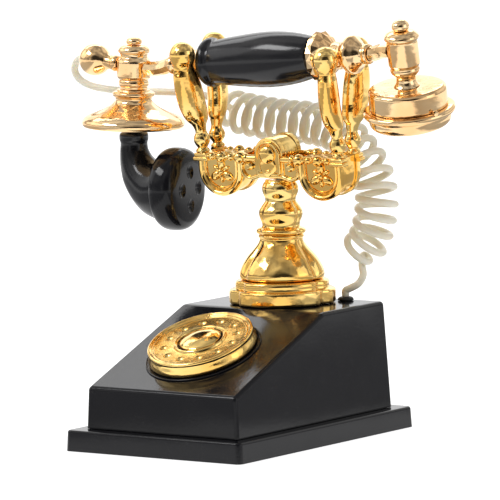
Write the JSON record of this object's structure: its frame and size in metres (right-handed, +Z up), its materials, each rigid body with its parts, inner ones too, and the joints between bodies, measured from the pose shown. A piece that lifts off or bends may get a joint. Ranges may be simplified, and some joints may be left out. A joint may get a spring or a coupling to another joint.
{
  "type": "french-style cradle telephone",
  "caption": "Desk telephone with a wedge case, rotary dial, turned gold column, four-pronged cradle and a handset with a horn mouthpiece on a curly cord.",
  "frame": {"origin": "middle of the case's footprint, on the surface the telephone stands on", "axes": "+Z up, -Y towards the user in front of the dial, +X to the user's right, where the earpiece is"},
  "size_m": [0.3196, 0.2024, 0.2737],
  "materials": {
    "black_case": "polished",
    "gold_plate": "polished gold plate",
    "pale_gold_plate": "polished pale gold plate",
    "steel": "zinc plated",
    "raw_brass": "satin",
    "board": "matt",
    "felt": "felt",
    "rubber_black": "matt",
    "cord_ivory": "soft gloss"
  },
  "bodies": {
    "root": {"base_pad": "felt", "base_plinth": "black_case", "bottom_plate": "steel", "plate_screw_front": "steel", "plate_screw_rear": "steel", "base_housing": "black_case", "line_cord_bushing": "rubber_black", "cord_bushing": "rubber_black", "dial_seat_ring": "black_case", "dial_frame": "raw_brass", "ringer_bracket": "steel", "bell_gong_left": "raw_brass", "bell_gong_right": "raw_brass", "ringer_coils": "raw_brass", "hook_bracket": "steel", "hook_contacts": "board", "network_board": "board", "column_foot": "gold_plate", "column_bell": "gold_plate", "column_shaft": "gold_plate", "column_tube": "steel", "column_nut": "steel", "plunger_spring": "steel", "curly_cord": "cord_ivory"},
    "dial": {"dial_wheel": "gold_plate", "dial_centre_dome": "gold_plate", "dial_spindle": "steel"},
    "cradle": {"cradle_front_plate": "gold_plate", "cradle_rear_plate": "gold_plate", "cradle_lobe_left": "gold_plate", "cradle_lobe_right": "gold_plate", "cradle_barrel": "gold_plate", "cradle_rivet_left": "gold_plate", "cradle_rivet_right": "gold_plate", "prong_front_left": "gold_plate", "prong_front_right": "gold_plate", "prong_rear_left": "gold_plate", "prong_rear_right": "gold_plate", "cradle_plunger": "steel"},
    "handset": {"handset_grip": "black_case", "handset_spindle": "steel", "rest_collar_left": "pale_gold_plate", "grip_knob": "pale_gold_plate", "grip_cone": "pale_gold_plate", "mouth_head": "pale_gold_plate", "mouth_finial": "pale_gold_plate", "end_ball": "pale_gold_plate", "mouth_bell": "pale_gold_plate", "mouth_horn": "black_case", "mouth_cap": "black_case", "cord_entry": "pale_gold_plate", "ear_head": "pale_gold_plate", "ear_finial": "pale_gold_plate", "ear_cup": "pale_gold_plate", "ear_cap": "pale_gold_plate", "receiver_capsule": "steel", "handset_rod_left": "pale_gold_plate", "handset_rod_right": "pale_gold_plate"},
    "hook_lever": {"hook_lever": "raw_brass"},
    "clapper": {"bell_clapper": "steel"}
  },
  "joints": [
    {"name": "handset_lift", "type": "slide", "parent": "root", "child": "handset", "axis": [0, -0.1132, 0.9936], "range_m": [0, 0.12]},
    {"name": "cradle_plunge", "type": "slide", "parent": "root", "child": "cradle", "axis": [0, 0, 1], "range_m": [0, 0.0042], "deforming": ["plunger_spring"]},
    {"name": "hook_switch_lift", "type": "hinge", "parent": "root", "child": "hook_lever", "pos_m": [0, 0.07, 0.058], "axis": [-1, 0, 0], "range_deg": [0, 17.5]},
    {"name": "dial_spin", "type": "hinge", "parent": "root", "child": "dial", "pos_m": [-0.001, -0.03797, 0.0616], "axis": [0, 0.3875, -0.9219], "range_deg": [0, 330], "stiffness_Nm_per_rad": 0.01},
    {"name": "bell_clapper_swing", "type": "hinge", "parent": "root", "child": "clapper", "pos_m": [0, 0.034, 0.0355], "axis": [0, 0, 1], "range_deg": [-6, 6]}
  ],
  "couplings": [
    {"joint": "cradle_plunge", "follows": "handset_lift", "ratio": 0.0333},
    {"joint": "hook_switch_lift", "follows": "handset_lift", "rad_per_m": 2.4725}
  ]
}
